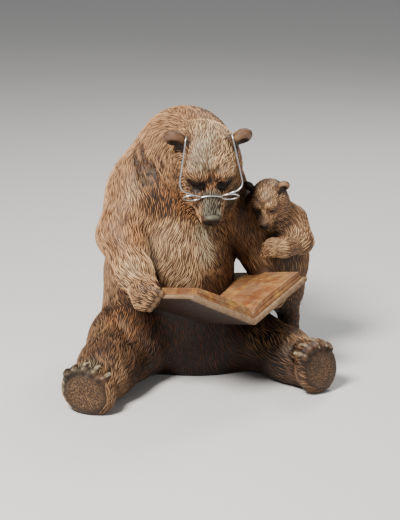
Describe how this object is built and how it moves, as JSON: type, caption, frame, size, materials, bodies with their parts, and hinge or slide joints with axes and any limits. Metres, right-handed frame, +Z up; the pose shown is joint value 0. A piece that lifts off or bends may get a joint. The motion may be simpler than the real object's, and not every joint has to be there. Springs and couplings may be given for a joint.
{
  "type": "bear figurine",
  "caption": "Sitting bear figurine in cast resin, reading an open book through wire spectacles, with a cub leaning on its arm.",
  "frame": {"origin": "under the middle of the figurine's box, on the surface that it stands on", "axes": "+Z up, -Y the way the bear faces, +X to the side where the cub stands"},
  "size_m": [0.2672, 0.2362, 0.2672],
  "materials": {
    "resin": "carved fur, dry-brushed tan over dark brown, satin",
    "wire": "bright bent wire"
  },
  "bodies": {
    "root": {"bear_casting": "resin", "spectacles": "wire"}
  },
  "joints": []
}
